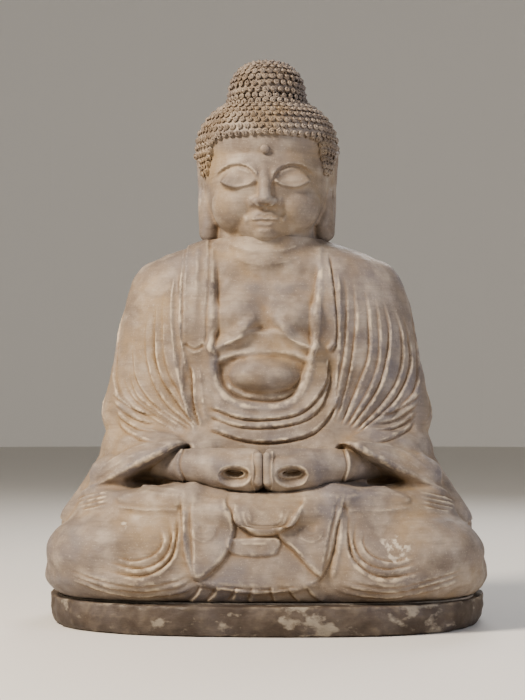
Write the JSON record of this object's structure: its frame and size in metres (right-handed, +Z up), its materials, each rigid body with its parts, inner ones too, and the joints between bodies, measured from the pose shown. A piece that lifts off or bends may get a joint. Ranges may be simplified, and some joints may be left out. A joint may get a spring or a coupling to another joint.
{
  "type": "seated buddha statue",
  "caption": "Seated meditating Buddha in carved stone on a low rounded plinth, built as pinned and bedded stone blocks with a separate head, crown, arms and hands.",
  "frame": {"origin": "middle of the plinth's flat underside", "axes": "+Z up, -Y the way the figure faces, +X towards the figure's left hand"},
  "size_m": [0.6196, 0.43, 0.8],
  "materials": {
    "stone": "carved limestone, hand rubbed, weathered, with warm dirt in the hollows and pale worn edges",
    "mortar": "lime mortar, trowelled",
    "lead": "dull sheet lead",
    "pin_steel": "stainless rod, as drawn"
  },
  "bodies": {
    "root": {"plinth_slab": "stone", "plinth_bed": "mortar", "setting_shims": "lead", "plinth_dowels": "pin_steel", "lap_block": "stone", "waist_bed": "mortar", "waist_dowels": "pin_steel", "torso_block": "stone", "right_arm_block": "stone", "left_arm_block": "stone", "right_arm_dowels": "pin_steel", "left_arm_dowels": "pin_steel", "right_hand": "stone", "left_hand": "stone", "hand_pins": "pin_steel", "neck_bed": "mortar", "head_block": "stone", "neck_dowel": "pin_steel", "crown_block": "stone", "crown_bed": "mortar", "crown_dowel": "pin_steel", "brow_bead": "stone"}
  },
  "joints": []
}
